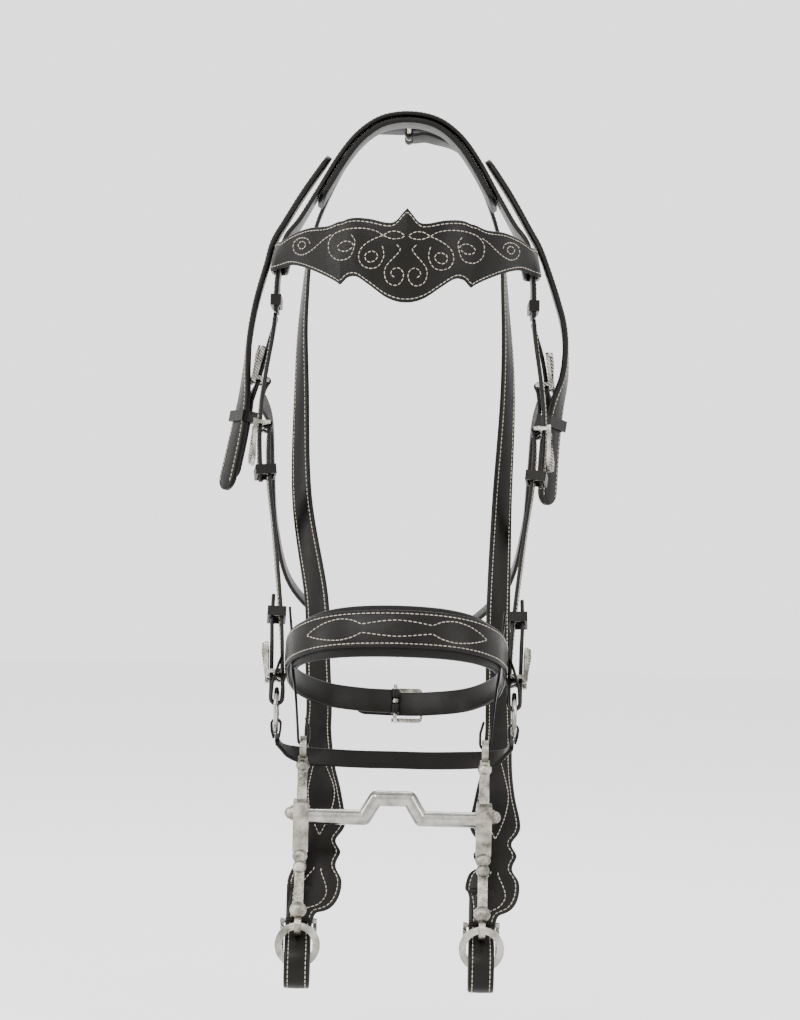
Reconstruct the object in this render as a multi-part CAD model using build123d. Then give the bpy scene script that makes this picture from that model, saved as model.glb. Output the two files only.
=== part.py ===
"""A horse's bridle of stitched black leather with a shaped browband, a padded noseband, a curb bit and
scalloped reins, in its worn shape.

The origin is the underside of the crownpiece where it rests on the poll. +Z is up, the bridle faces -Y,
and near (+X) and off (-X) are the two sides. Lengths are in millimetres.
"""

import os
from math import cos, radians, sin

from build123d import *

# Straps
CROWN_WIDTH = 38
CROWN_THICK = 4
CROWN_STRAP_WIDTH = 22
CROWN_STRAP_THICK = 5
BILLET_WIDTH = 15
BILLET_THICK = 3.4
CHEEK_WIDTH = 15
CHEEK_THICK = 3
THROAT_WIDTH = 15
THROAT_THICK = 3.4
BROWBAND_THICK = 3.2
LINING_THICK = 1.8
NOSE_PANEL_THICK = 3
NOSE_PADDING_THICK = 6
POLL_PADDING_THICK = 6
JAW_WIDTH = 20
JAW_THICK = 3.6
TAB_THICK = 1.8
CHIN_WIDTH = 14
CHIN_THICK = 3.4
BIT_STRAP_THICK = 2
REIN_WIDTH = 20
REIN_THICK = 3.2
GAP = 0.3

# Buckles: a U-shaped frame outside the billet, whose bar lies behind the billet
RAIL = 3
BAR_RADIUS = 1.6
BAR_DROP = 6.6
SLEEVE_RADIUS = 3.8
BORE_RADIUS = 1.95
TONGUE_WIDTH = 3
NOTCH_WIDTH = 4.6
HOLDER_DROP = 7.6

# Bit
SHANK_X = 71
SHANK_THICK = 7.5
EYE_THICK = 5
BLOCK_WIDTH = 12
UPPER_EYE = (-163, -506)
MOUTH = (-180, -558)
MOUTH_RADIUS = 6
LOWER_EYE = (-195, -641.3)
RING_RADIUS = 14.75
RING_BAND = 5.5
RING_FLAT = 3

# Noseband, laid out across the nose line
NOSE_TILT = 20.5
NOSE_FRONT = Vector(0, -237, -409)
NOSE_RING_CENTRE = Vector(92.7, -163, -477.5)
NOSE_RING_RADIUS = 16.5
NOSE_RING_WIRE = 1.7


def through(rows, steps=4):
    """A smooth curve through rows of numbers, with this many steps from each row to the next."""
    before = [2 * a - b for a, b in zip(rows[0], rows[1])]
    after = [2 * a - b for a, b in zip(rows[-1], rows[-2])]
    ends = [before, *rows, after]
    out = []
    for a, b, c, d in zip(ends, ends[1:], ends[2:], ends[3:]):
        for step in range(steps):
            t = step / steps
            row = []
            for p, q, r, s in zip(a, b, c, d):
                bend = (2 * p - 5 * q + 4 * r - s) * t**2 + (3 * q - p - 3 * r + s) * t**3
                row.append(0.5 * (2 * q + (r - p) * t + bend))
            out.append(row)
    out.append(list(rows[-1]))
    return out


def mirrored(rows):
    """The same strap on the other side of the head."""
    return [(-row[0], row[1], row[2], -row[3], *row[4:]) for row in rows]


def axes(rows, i):
    """Place, direction, upper side and outer face of a strap at row i."""
    place = Vector(*rows[i][:3])
    along = Vector(*rows[min(i + 1, len(rows) - 1)][:3]) - Vector(*rows[max(i - 1, 0)][:3])
    along = along.normalized()
    face = Vector(*rows[i][3:6])
    face = (face - along * face.dot(along)).normalized()
    return place, along, face.cross(along), face


def ribbon(rows, thick, high, low=None, lift=0.0):
    """A flat strap through rows of place and outer face. high and low are its edges' distances from the
    rows, and the last two numbers of each row are used instead where high is None."""
    sections = []
    for i, row in enumerate(rows):
        place, _, side, face = axes(rows, i)
        top, bottom = (row[6], row[7]) if high is None else (high, high if low is None else low)
        outer = face * (lift + thick / 2)
        inner = face * (lift - thick / 2)
        corners = [
            place + side * top + outer,
            place + side * top + inner,
            place - side * bottom + inner,
            place - side * bottom + outer,
        ]
        sections.append(Wire.make_polygon(corners, close=True))
    return Solid.make_loft(sections, ruled=True)


def on_strap(rows, z, up=False):
    """A plane on the strap at height z, with x along the strap, or up it, and z out of its face."""
    nearest = min(range(len(rows)), key=lambda i: abs(rows[i][2] - z))
    place, along, _, face = axes(rows, nearest)
    if (along.Z > 0) != up:
        along = along * -1
    return Plane(origin=place, x_dir=along, z_dir=face)


def station(plane, x, z):
    """A strap row at a place given in a buckle's plane, facing as the buckle does."""
    place = plane.from_local_coords(Vector(x, 0, z))
    return (*place, *plane.z_dir)


def buckle_frame(plane, width, thick, length):
    """A U-shaped frame over the billet, joined by two legs to the bar behind it."""
    outer = width + 2 * 1.2 + 2 * RAIL
    rest = thick / 2 + 1
    rail_y = (outer - RAIL) / 2
    frame = Pos(length / 2 - RAIL / 2, 0, rest + RAIL / 2) * Box(length + RAIL, outer, RAIL)
    frame = fillet(frame.edges().filter_by(Axis.Z).group_by(Axis.X)[-1], RAIL)
    hole = Pos(length / 2 - RAIL, 0, rest + RAIL / 2) * Box(length + 2 * RAIL, outer - 2 * RAIL, 3 * RAIL)
    frame -= Pos(-RAIL / 2, 0, 0) * hole
    height = BAR_DROP + rest + RAIL / 2
    for y in (-rail_y, rail_y):
        frame += Pos(0, y, rest + RAIL / 2 - height / 2) * Box(RAIL, RAIL, height + RAIL)
    frame += Pos(0, 0, -BAR_DROP) * Rot(90, 0, 0) * Cylinder(BAR_RADIUS, outer - RAIL)
    return plane.location * frame


def buckle_tongue(plane, thick, length):
    """The tongue, which turns on the bar, passes through the billet and rests on the end of the frame."""
    rest = thick / 2 + 1
    over = rest + RAIL + 0.4
    end = length - 2 * RAIL
    profile = [
        (-1.5, -BAR_DROP + 2.3),
        (1.5, -BAR_DROP + 2.3),
        (1.5, rest + 0.4),
        (end, over),
        (length + 1.5, over),
        (length + 1.5, over + 1.8),
        (end, over + 2.2),
        (1.5, rest + 3),
        (-1.5, rest + 1.6),
    ]
    section = Plane.XZ * Polygon(*profile, align=None)
    arm = extrude(section, TONGUE_WIDTH / 2, both=True)
    eye = Pos(0, 0, -BAR_DROP) * Rot(90, 0, 0) * Cylinder(3.1, TONGUE_WIDTH)
    eye -= Pos(0, 0, -BAR_DROP) * Rot(90, 0, 0) * Cylinder(BORE_RADIUS, 3 * TONGUE_WIDTH)
    return plane.location * (arm + eye)


def holding(strap, plane, width):
    """The strap with its end folded round a buckle's bar and notched for the tongue."""
    bar = plane.location * Pos(0, 0, -BAR_DROP) * Rot(90, 0, 0)
    strap = strap + bar * Cylinder(SLEEVE_RADIUS, width)
    strap -= bar * Cylinder(BORE_RADIUS, 2 * width)
    strap -= plane.location * Pos(0, 0, -BAR_DROP) * Box(10, NOTCH_WIDTH, 12)
    return strap


def slotted(billet, plane):
    """The billet with the slot that the tongue passes through."""
    return billet - plane.location * Pos(-2.6, 0, 0) * Box(15.4, NOTCH_WIDTH, 9)


def keeper(plane, width, low, high, length=9, wall=1.8):
    """A leather loop round one or more straps, between two heights over the plane."""
    middle = Pos(0, 0, (low + high) / 2)
    outer = middle * Box(length, width + 2 * wall, high - low + 2 * wall)
    return plane.location * (outer - middle * Box(2 * length, width, high - low))


def arc_rows(centre, radius, start, stop, steps, plane_point, face_sign):
    """Rows round an arc. plane_point turns an angle's cosine and sine into a direction."""
    rows = []
    for step in range(steps + 1):
        turn = radians(start + (stop - start) * step / steps)
        out = plane_point(cos(turn), sin(turn))
        place = centre + out * radius
        rows.append((*place, *(out * face_sign)))
    return rows


def across_nose(x, depth):
    """A place on the noseband's level, this far behind the front of the nose."""
    back = Vector(0, cos(radians(NOSE_TILT)), -sin(radians(NOSE_TILT)))
    return NOSE_FRONT + Vector(x, 0, 0) + back * depth


def plan_rows(plan):
    """Noseband rows from pairs of x and depth, facing outward."""
    places = [across_nose(x, depth) for x, depth in plan]
    down = Vector(0, -sin(radians(NOSE_TILT)), -cos(radians(NOSE_TILT)))
    rows = []
    for i, place in enumerate(places):
        along = (places[min(i + 1, len(places) - 1)] - places[max(i - 1, 0)]).normalized()
        rows.append((*place, *down.cross(along)))
    return rows


nodes = {}


def both_sides(name, solid):
    """The near piece and its mirror image on the off side."""
    nodes[name + "_near"] = solid
    nodes[name + "_off"] = solid.mirror(Plane.YZ)


# Crownpiece: over the poll and down to the browband on both sides
crown_half = [
    (0, 0, 8.8, 0, 0, 1),
    (24, 0, 4.4, 0.33, 0, 0.94),
    (43, -2, -9.5, 0.68, 0, 0.73),
    (59, -5, -31, 0.82, 0, 0.57),
    (76, -12, -62, 0.89, 0, 0.45),
    (90, -19, -87, 0.92, 0, 0.38),
    (100, -25, -103, 0.98, 0, 0.2),
    (102.4, -28, -115, 0.98, 0, 0.2),
    (104.4, -30, -127, 0.98, 0, 0.15),
    (105.2, -33, -142, 1, 0, 0),
    (105.4, -34, -160, 1, 0, 0),
]
crown_rows = through(mirrored(crown_half)[:0:-1] + crown_half)
crown_side = crown_rows[len(crown_rows) // 2 :]
nodes["crownpiece"] = ribbon(crown_rows, CROWN_THICK, CROWN_WIDTH / 2)
padding_reach = 16
middle = len(crown_side) - 1
poll_rows = crown_rows[middle - padding_reach : middle + padding_reach + 1]
padding_lift = -(CROWN_THICK + POLL_PADDING_THICK) / 2 - GAP
nodes["crown_padding"] = ribbon(poll_rows, POLL_PADDING_THICK, CROWN_WIDTH / 2 + 3, lift=padding_lift)

# Long stitched crown straps, whose free ends hang outside everything else
strap_near = through(
    [
        (65.5, -5, -28, 0.82, 0, 0.57),
        (85, -12, -58, 0.89, 0, 0.45),
        (102.5, -20, -89, 0.9, 0, 0.43),
        (110.2, -24, -103, 0.9, 0, 0.43),
        (117, -28, -121, 0.92, 0, 0.38),
        (125, -32, -145, 0.97, 0, 0.22),
        (130.5, -34, -165, 0.99, -0.02, 0.05),
        (132.5, -36, -185, 1, -0.06, 0),
        (131.5, -38, -208, 0.98, -0.2, 0),
        (126, -40, -232, 0.88, -0.45, 0),
        (122, -43, -262, 0.8, -0.6, 0),
        (119.5, -48, -312, 0.77, -0.64, 0),
    ]
)
strap_off = through(
    [
        (-65.5, -5, -28, -0.82, 0, 0.57),
        (-85, -12, -58, -0.89, 0, 0.45),
        (-101, -20, -86, -0.9, 0, 0.43),
        (-109.8, -25, -103, -0.94, 0, 0.33),
        (-114.3, -28, -121, -0.96, 0, 0.27),
        (-120.5, -32, -145, -0.97, 0, 0.22),
        (-124.5, -34, -165, -0.99, -0.02, 0.15),
        (-127, -36, -185, -0.99, -0.04, 0.13),
        (-128.5, -38, -208, -0.97, -0.15, 0.15),
        (-130, -40, -232, -0.9, -0.35, 0.15),
        (-134.5, -43, -262, -0.82, -0.5, 0.15),
        (-143, -48, -306, -0.8, -0.55, 0.15),
    ]
)
nodes["crown_strap_near"] = ribbon(strap_near, CROWN_STRAP_THICK, CROWN_STRAP_WIDTH / 2)
nodes["crown_strap_off"] = ribbon(strap_off, CROWN_STRAP_THICK, CROWN_STRAP_WIDTH / 2)

# Throat billets: from the crown, through the throat buckles, then along the inside of the crown straps
billet_lift = -(CROWN_STRAP_THICK + BILLET_THICK) / 2 - 0.8
throat_length = 27


def throat_rows(strap, upper):
    """A throat billet's rows: its own down to the buckle, and the crown strap's moved inward below it."""
    rows = through(upper)
    for i, row in enumerate(strap):
        if -300 < row[2] < -228:
            place, _, _, face = axes(strap, i)
            rows.append((*(place + face * billet_lift), *face))
    return rows


throat_near = throat_rows(
    strap_near,
    [
        (105.6, -25.5, -163.5, 1, 0, 0),
        (109.5, -27, -176, 0.98, -0.1, 0.1),
        (113.6, -30, -190, 0.98, -0.12, 0.08),
        (116.5, -33, -205, 0.98, -0.12, 0.08),
        (118.4, -36, -219, 0.98, -0.14, 0.06),
    ],
)
throat_off = throat_rows(
    strap_off,
    [
        (-105.6, -25.5, -163.5, -1, 0, 0),
        (-109, -27, -176, -0.98, -0.1, 0.15),
        (-112.6, -30, -190, -0.97, -0.12, 0.2),
        (-116.2, -33, -205, -0.97, -0.12, 0.2),
        (-119.8, -36, -219, -0.97, -0.14, 0.2),
    ],
)

# Cheek billets: from the crown's front half down through the cheek buckles
cheek_billet = through(
    [
        (105.6, -43.5, -163.5, 1, 0, 0),
        (108, -52, -185, 0.99, -0.05, 0.1),
        (112, -60, -212, 0.99, -0.08, 0.1),
        (114.6, -68, -236, 0.99, -0.1, 0.03),
        (115, -76, -260, 0.99, -0.1, -0.02),
        (114, -83, -283, 0.99, -0.12, -0.05),
        (112.4, -87, -299, 0.98, -0.14, -0.1),
    ]
)
cheek_length = 31
cheek_plane = on_strap(cheek_billet, -253)
both_sides(
    "cheek_billet",
    slotted(ribbon(cheek_billet, BILLET_THICK, BILLET_WIDTH / 2), cheek_plane),
)
both_sides("cheek_buckle", buckle_frame(cheek_plane, BILLET_WIDTH, BILLET_THICK, cheek_length))
both_sides("cheek_tongue", buckle_tongue(cheek_plane, BILLET_THICK, cheek_length))

# Cheekpieces: hang on the cheek buckles, turn round the noseband rings and come up as the ring billets
cheek_rows = through(
    [
        station(cheek_plane, 2.8, -HOLDER_DROP),
        station(cheek_plane, 24, -HOLDER_DROP),
        (105.4, -89.5, -303, 0.98, -0.15, -0.1),
        (101, -104, -332, 0.97, -0.15, -0.15),
        (96.6, -118, -366, 0.98, -0.15, -0.1),
        (92.5, -132, -400, 0.99, -0.1, -0.05),
        (90.4, -141, -424, 1, -0.05, 0),
        (89, -152, -450, 1, 0, 0),
        (88.2, -156, -462, 1, 0, 0),
    ]
)
turn_radius = 4.6
turn_centre = Vector(88.2 + turn_radius, -158, -468)
turn = arc_rows(turn_centre, turn_radius, 180, 360, 8, lambda c, s: Vector(c, 0, s), -1)
ring_billet = [
    (turn_centre.X + turn_radius, -156, -462, 1, 0, 0),
    (97.6, -152, -451, 1, 0, 0),
    (97.8, -147, -439, 1, 0, 0),
    (98.1, -142, -426, 1, 0, 0),
    (98.8, -135, -409, 1, -0.05, 0),
    (98.4, -127, -388, 0.99, -0.1, -0.1),
]
outward_billet = through(ring_billet)
turned_back = [(*row[:3], -row[3], -row[4], -row[5]) for row in outward_billet]
ring_buckle_length = 25
ring_plane = on_strap(outward_billet, -451, up=True)
cheekpiece = ribbon([*cheek_rows, *turn[1:], *turned_back], CHEEK_THICK, CHEEK_WIDTH / 2)
cheekpiece = holding(cheekpiece, cheek_plane, BILLET_WIDTH)
cheekpiece = holding(cheekpiece, ring_plane, CHEEK_WIDTH)
both_sides("cheekpiece", slotted(cheekpiece, ring_plane))
both_sides("ring_buckle", buckle_frame(ring_plane, CHEEK_WIDTH, CHEEK_THICK, ring_buckle_length))
both_sides("ring_tongue", buckle_tongue(ring_plane, CHEEK_THICK, ring_buckle_length))

# Throatlatch: under the jaw from one throat buckle to the other
near_plane = on_strap(throat_near, -216, up=True)
off_plane = on_strap(throat_off, -216, up=True)
throat_under = [
    (108.5, -12, -250, 0.99, 0, 0),
    (107, 12, -288, 0.99, 0.05, -0.1),
    (104, 36, -335, 0.97, 0.1, -0.2),
    (92, 62, -382, 0.85, 0.25, -0.45),
    (60, 90, -416, 0.45, 0.4, -0.8),
    (30, 104, -429, 0.2, 0.45, -0.87),
]
throat_loop = through(
    [
        station(near_plane, -2.8, -HOLDER_DROP),
        station(near_plane, -14, -HOLDER_DROP),
        *throat_under,
        (0, 108, -433, 0, 0.47, -0.88),
        *mirrored(throat_under)[::-1],
        station(off_plane, -14, -HOLDER_DROP),
        station(off_plane, -2.8, -HOLDER_DROP),
    ]
)
throatlatch = ribbon(throat_loop, THROAT_THICK, THROAT_WIDTH / 2)
throatlatch = holding(throatlatch, near_plane, THROAT_WIDTH)
nodes["throatlatch"] = holding(throatlatch, off_plane, THROAT_WIDTH)
for side, plane, rows in (("near", near_plane, throat_near), ("off", off_plane, throat_off)):
    nodes["throat_billet_" + side] = slotted(ribbon(rows, BILLET_THICK, BILLET_WIDTH / 2), plane)
    nodes["throat_buckle_" + side] = buckle_frame(plane, BILLET_WIDTH, BILLET_THICK, throat_length)
    nodes["throat_tongue_" + side] = buckle_tongue(plane, BILLET_THICK, throat_length)

# Browband: a shaped front with a spike at its centre, whose ends turn round the crownpiece
BROW_LEVEL = -115
BROW_LEAN = 0.2
brow_front = [
    (0, -130, 35, 40),
    (8, -129.8, 25, 39),
    (18, -128.6, 24, 34.5),
    (29, -126.3, 25.5, 26.5),
    (39, -123, 26.5, 20),
    (47, -119, 25.5, 21),
    (52, -116, 24.5, 25.5),
    (64, -107, 21, 19),
    (78, -93, 20.5, 12.5),
    (91, -76, 17, 8.5),
    (100.6, -63, 12, 10),
    (105.6, -55, 12, 12),
    (107.4, -46, 12, 12),
    (107.6, -10, 12, 12),
]
brow_plan = through([(x, y) for x, y, _, _ in brow_front], 1)
brow_half = []
for i, (x, y, high, low) in enumerate(brow_front):
    ahead = brow_plan[min(i + 1, len(brow_plan) - 1)]
    behind = brow_plan[i - 1] if i else (-brow_plan[1][0], brow_plan[1][1])
    outward = Vector(ahead[1] - behind[1], behind[0] - ahead[0]).normalized()
    lean = BROW_LEAN if x > 102 else 0
    brow_half.append((x, y, BROW_LEVEL, outward.X, outward.Y, lean, high, low))
brow_turn = arc_rows(Vector(101.9, -7, BROW_LEVEL), 5.7, 0, 180, 8, lambda c, s: Vector(c, s, 0), 1)
brow_turn = [(*row[:5], BROW_LEAN * row[3]) for row in brow_turn]
brow_return = [*brow_turn[1:], (96.6, -42, BROW_LEVEL, -1, 0, -BROW_LEAN)]
brow_side = through(brow_half, 3) + [(*row, 12, 12) for row in brow_return]
brow_rows = [(*row[:6], row[6], row[7]) for row in mirrored(brow_side)[:0:-1]] + brow_side
nodes["browband"] = ribbon(brow_rows, BROWBAND_THICK, None)
lining_lift = -(BROWBAND_THICK + LINING_THICK) / 2 - GAP
lining_rows = [(*row[:6], row[6] - 3, row[7] - 3) for row in brow_rows if row[1] < -62]
nodes["browband_lining"] = ribbon(lining_rows, LINING_THICK, None, lift=lining_lift)

# Noseband: a stitched panel on a padded roll, a tab to each ring and a jaw strap behind
nose_plan = [(0, 0), (35, 4), (60, 16), (76.5, 36), (83.8, 58), (85.6, 78)]
nose_full = through([(-x, depth) for x, depth in nose_plan[:0:-1]] + nose_plan, 6)


def narrowing(rows, centre, end):
    """The rows with a width that narrows from the centre to both ends."""
    last = len(rows) - 1
    out = []
    for i, row in enumerate(rows):
        away = abs(2 * i / last - 1)
        half = (centre + (end - centre) * away**2) / 2
        out.append((*row, half, half))
    return out


nose_rows = narrowing(plan_rows(nose_full), 30, 22)
roll_rows = narrowing(plan_rows([pair for pair in nose_full if pair[1] < 60]), 40, 28)
nodes["nosepiece"] = ribbon(nose_rows, NOSE_PANEL_THICK, None)
roll_lift = -(NOSE_PANEL_THICK + NOSE_PADDING_THICK) / 2 - GAP
nodes["nosepiece_padding"] = ribbon(roll_rows, NOSE_PADDING_THICK, None, lift=roll_lift)

tab_turn = arc_rows(Vector(92.7, -171.5, -467.8), 3.8, 360, 180, 8, lambda c, s: Vector(c, 0, s), -1)
tab_rows = [
    (88.6, -166.5, -434, -1, 0, 0),
    (91.5, -167.5, -441, -1, 0, 0),
    (95.8, -170, -456, -1, 0, 0),
    *tab_turn,
    (88, -169, -456, 1, 0, 0),
    (85.8, -167, -449, 1, 0, 0),
]
both_sides("ring_tab", ribbon(tab_rows, TAB_THICK, 4.5))

jaw_start = [(85.2, 78.6), (85, 96)]
jaw_inner = [*jaw_start, (83.8, 116), (76, 145), (55, 172), (25, 184)]
jaw_outer = [*jaw_start, (84, 116), (79, 147), (58, 178), (27, 191.5), (0, 194), (-34, 191)]
jaw_off = [(-x, depth) for x, depth in jaw_inner]
jaw_billet = plan_rows(through(jaw_outer, 4))
jaw_strap = plan_rows(through([*jaw_off, (-2.6, 186.4)], 4)[::-1])
jaw_plane = Plane(
    origin=across_nose(0, 194),
    x_dir=Vector(1, 0, 0),
    z_dir=Vector(0, cos(radians(NOSE_TILT)), -sin(radians(NOSE_TILT))),
)
jaw_length = 22
nodes["jaw_strap"] = holding(ribbon(jaw_strap, JAW_THICK, JAW_WIDTH / 2), jaw_plane, JAW_WIDTH)
nodes["jaw_billet"] = slotted(ribbon(jaw_billet, BILLET_THICK, JAW_WIDTH / 2), jaw_plane)
nodes["jaw_buckle"] = buckle_frame(jaw_plane, JAW_WIDTH, BILLET_THICK, jaw_length)
nodes["jaw_tongue"] = buckle_tongue(jaw_plane, BILLET_THICK, jaw_length)

# Noseband rings and the chin strap that joins them behind the chin
ring = Pos(*NOSE_RING_CENTRE) * Rot(0, 90, 0) * Torus(NOSE_RING_RADIUS, NOSE_RING_WIRE)
both_sides("noseband_ring", ring)
chin_turn = arc_rows(Vector(92.7, -161, -488.3), 3.7, 0, 180, 8, lambda c, s: Vector(c, 0, s), 1)
chin_half = through(
    [
        (92, -157.5, -500.5, 1, 0, -0.1),
        (89, -153, -506, 0.85, 0, -0.5),
        (84, -148, -510.5, 0.7, 0.3, -0.6),
        (72, -140, -514, 0.3, 0.85, -0.4),
        (50, -131, -516, 0.2, 0.97, -0.1),
        (25, -127, -517, 0.05, 1, 0),
        (0, -126, -517, 0, 1, 0),
    ]
)
chin_rows = chin_half + mirrored(chin_half)[-2::-1]
nodes["chin_strap"] = ribbon(chin_rows, CHIN_THICK, CHIN_WIDTH / 2)
chin_loop = [
    (94.4, -159.5, -498.5, 1, 0, 0),
    (96, -160.5, -493, 1, 0, 0),
    *chin_turn,
    (89.3, -160.5, -493, -1, 0, 0),
    (90, -159.5, -497.5, -1, 0, 0),
]
both_sides("chin_loop", ribbon(chin_loop, TAB_THICK, 6))

# Bit straps: from under the cheekpieces to the bit's upper eyes
eye_y, eye_z = UPPER_EYE
bit_turn = arc_rows(Vector(SHANK_X, eye_y, eye_z + 6), 4.1, 360, 180, 8, lambda c, s: Vector(c, 0, s), 1)
bit_rows = [
    *through(
        [
            (85.2, -128, -399, 1, 0, 0.05),
            (82.4, -140, -424, 1, 0, 0.1),
            (81, -150, -444, 1, 0, 0.15),
            (78, -157, -466, 0.97, 0, 0.2),
            (75.8, -162, -490, 0.99, 0, 0.05),
        ]
    ),
    *bit_turn,
    (SHANK_X - 4.1, eye_y, -492, -1, 0, 0),
    (SHANK_X - 1.5, eye_y + 1, -483, -0.97, 0, -0.2),
]
both_sides("bit_strap", ribbon(bit_rows, BIT_STRAP_THICK, 3.9))


def bit_shank(x):
    """One cheek of the curb bit: an S-shaped bar with an eye at each end and a cast block at the mouth."""
    spine = through(
        [
            (x, -163, -513, 1, 0, 0, 4, 4),
            (x, -165.5, -528, 1, 0, 0, 3.2, 3.2),
            (x, -171, -546, 1, 0, 0, 4.5, 4.5),
            (x, -177, -565, 1, 0, 0, 6, 6),
            (x, -179, -585, 1, 0, 0, 5, 5),
            (x, -183, -602, 1, 0, 0, 3.6, 3.6),
            (x, -190, -618, 1, 0, 0, 3.4, 3.4),
            (x, -194.5, -634, 1, 0, 0, 4, 4),
        ]
    )
    shank = ribbon(spine, SHANK_THICK, None)
    across = Rot(0, 90, 0)
    top = Pos(x, *UPPER_EYE) * across
    bottom = Pos(x, *LOWER_EYE) * across
    shank += top * Cylinder(9, EYE_THICK)
    shank += bottom * Cylinder(7.6, EYE_THICK)
    shank += Pos(x, -178, -565.5) * Rot(8, 0, 0) * Box(BLOCK_WIDTH, 15, 39)
    for y, z, radius in ((-164, -520, 5.4), (-181.5, -589, 6), (-183.5, -597, 5.4), (-193.5, -629, 6.6)):
        shank += Pos(x, y, z) * Sphere(radius)
    shank -= top * Cylinder(5.8, 3 * EYE_THICK)
    shank -= bottom * Cylinder(4.3, 5 * EYE_THICK)
    return shank


def mouthpiece():
    """A straight bar with a low port, its ends let into the shanks' blocks."""
    y, z = MOUTH
    reach = SHANK_X - BLOCK_WIDTH / 2
    route = [(-reach, 0), (-22, 0), (-13, 15), (13, 15), (22, 0), (reach, 0)]
    bar = None
    for (x0, z0), (x1, z1) in zip(route, route[1:]):
        start = Vector(x0, y, z + z0)
        run = Vector(x1, y, z + z1) - start
        piece = Plane(origin=start, z_dir=run.normalized()) * Cylinder(
            MOUTH_RADIUS, run.length, align=(Align.CENTER, Align.CENTER, Align.MIN)
        )
        bar = piece if bar is None else bar + piece
    for x0, z0 in route[1:-1]:
        bar += Pos(x0, y, z + z0) * Sphere(MOUTH_RADIUS)
    return bar


both_sides("shank", bit_shank(SHANK_X))
nodes["mouthpiece"] = mouthpiece()
boss = Pos(SHANK_X + 7, -177, -556) * Rot(0, 90, 0) * Cylinder(6, 2)
boss += Pos(SHANK_X + 8, -177, -556) * Sphere(5)
boss = boss & (Pos(SHANK_X + 16, -177, -556) * Box(20, 30, 30))
nodes["bit_bosses"] = Compound(children=[boss, boss.mirror(Plane.YZ)])

ring_centre = Vector(SHANK_X, LOWER_EYE[0], LOWER_EYE[1] - RING_RADIUS)
rein_ring = extrude(
    Circle(RING_RADIUS + RING_BAND / 2) - Circle(RING_RADIUS - RING_BAND / 2), RING_FLAT / 2, both=True
)
rein_ring = Pos(*ring_centre) * Rot(90, 0, 0) * rein_ring
both_sides("rein_ring", rein_ring)

# Reins: through the rein rings, up behind the bit and over behind the crown
join_plane = Plane(origin=(0, 96, 8), x_dir=(-1, 0, 0), z_dir=(0, 0.25, 0.97))
rein_length = 27


def rein_rows(ring_x, columns, top):
    """The rein from behind the crown down to its ring, then round through the ring and back up behind."""
    leaf_x, mid_x, high_x, top_x = columns
    side = 1 if ring_x > 0 else -1
    down = [
        (side * 50, 92, -16, side * 0.5, 0, 0.86, 10),
        (side * 78, 82, -80, side * 0.9, 0, 0.4, 10),
        (side * 86, 66, -150, side * 0.95, -0.3, 0.1, 10),
        (top_x + side * 3, 55, -220, side * 0.8, -0.6, 0, 10),
        (top_x, 42, -311, side * 0.6, -0.8, 0, 10.5),
        (high_x, 8, -393, side * 0.3, -0.9, 0.2, 10.5),
        ((high_x + mid_x) / 2, -20, -440, side * 0.15, -0.9, 0.4, 10.5),
        (mid_x, -52, -480, side * 0.05, -0.8, 0.6, 10.5),
        (mid_x, -72, -500, 0, -0.75, 0.66, 11),
        ((mid_x + leaf_x) / 2, -98, -525, 0, -0.7, 0.7, 12.5),
        (leaf_x, -120, -545, 0, -0.75, 0.66, 16),
        (leaf_x, -140, -567, 0, -0.8, 0.6, 20),
        (leaf_x, -149, -579, 0, -0.85, 0.5, 13),
        (leaf_x, -155, -588, 0, -0.87, 0.5, 17),
        (leaf_x, -160, -597, 0, -0.9, 0.45, 13.5),
        (leaf_x * 0.9 + ring_x * 0.1, -164, -605, 0, -0.9, 0.42, 20),
        (leaf_x * 0.7 + ring_x * 0.3, -170.5, -618, 0, -0.9, 0.4, 20.5),
        (leaf_x * 0.2 + ring_x * 0.8, -177, -630, 0, -0.9, 0.45, 11.5),
    ]
    loop = [
        (-186.5, -646, -0.8, 0.6),
        (-194.5, -655.5, -0.7, 0.7),
        (-201.5, -664, -0.9, 0.4),
        (-203.5, -675, -1, 0),
        (-200.5, -684, -0.8, -0.6),
        (-193, -688.5, 0, -1),
        (-185.5, -684, 0.8, -0.6),
        (-181.5, -675, 1, 0.2),
        (-179.2, -664, 1, 0.2),
        (-176.5, -650, 1, 0.2),
        (-173.6, -635, 1, 0.2),
        (-169.4, -612, 1, 0.2),
    ]
    lower = [(ring_x, y, z, 0, face_y, face_z, 10) for y, z, face_y, face_z in loop]
    return [(*row, row[6]) for row in through([*top, *down, *lower], 3)]


near_top = [(*station(join_plane, x, -HOLDER_DROP), 10) for x in (-2.8, -20)]
off_top = [(*station(join_plane, x, 0), 10) for x in (-32, -12, 8, 24)]
off_top.append((*station(join_plane, 36, -1), 10))
rein_plans = (
    ("near", SHANK_X, (81, 84, 84, 86), near_top),
    ("off", -SHANK_X, (-57, -62, -68, -83), off_top),
)
rein_planes = {}
for side, ring_x, columns, top in rein_plans:
    rows = rein_rows(ring_x, columns, top)
    rein_plane = on_strap(rows[-16:], -642)
    rein = holding(ribbon(rows, REIN_THICK, None), rein_plane, REIN_WIDTH)
    rein = slotted(rein, rein_plane)
    if side == "near":
        rein = holding(rein, join_plane, REIN_WIDTH)
    else:
        rein = slotted(rein, join_plane)
    rein_planes[side] = rein_plane
    nodes["rein_" + side] = rein
    nodes["rein_buckle_" + side] = buckle_frame(rein_plane, REIN_WIDTH, REIN_THICK, rein_length)
    nodes["rein_tongue_" + side] = buckle_tongue(rein_plane, REIN_THICK, rein_length)
nodes["rein_join_buckle"] = buckle_frame(join_plane, REIN_WIDTH, REIN_THICK, rein_length)
nodes["rein_join_tongue"] = buckle_tongue(join_plane, REIN_THICK, rein_length)

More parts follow.
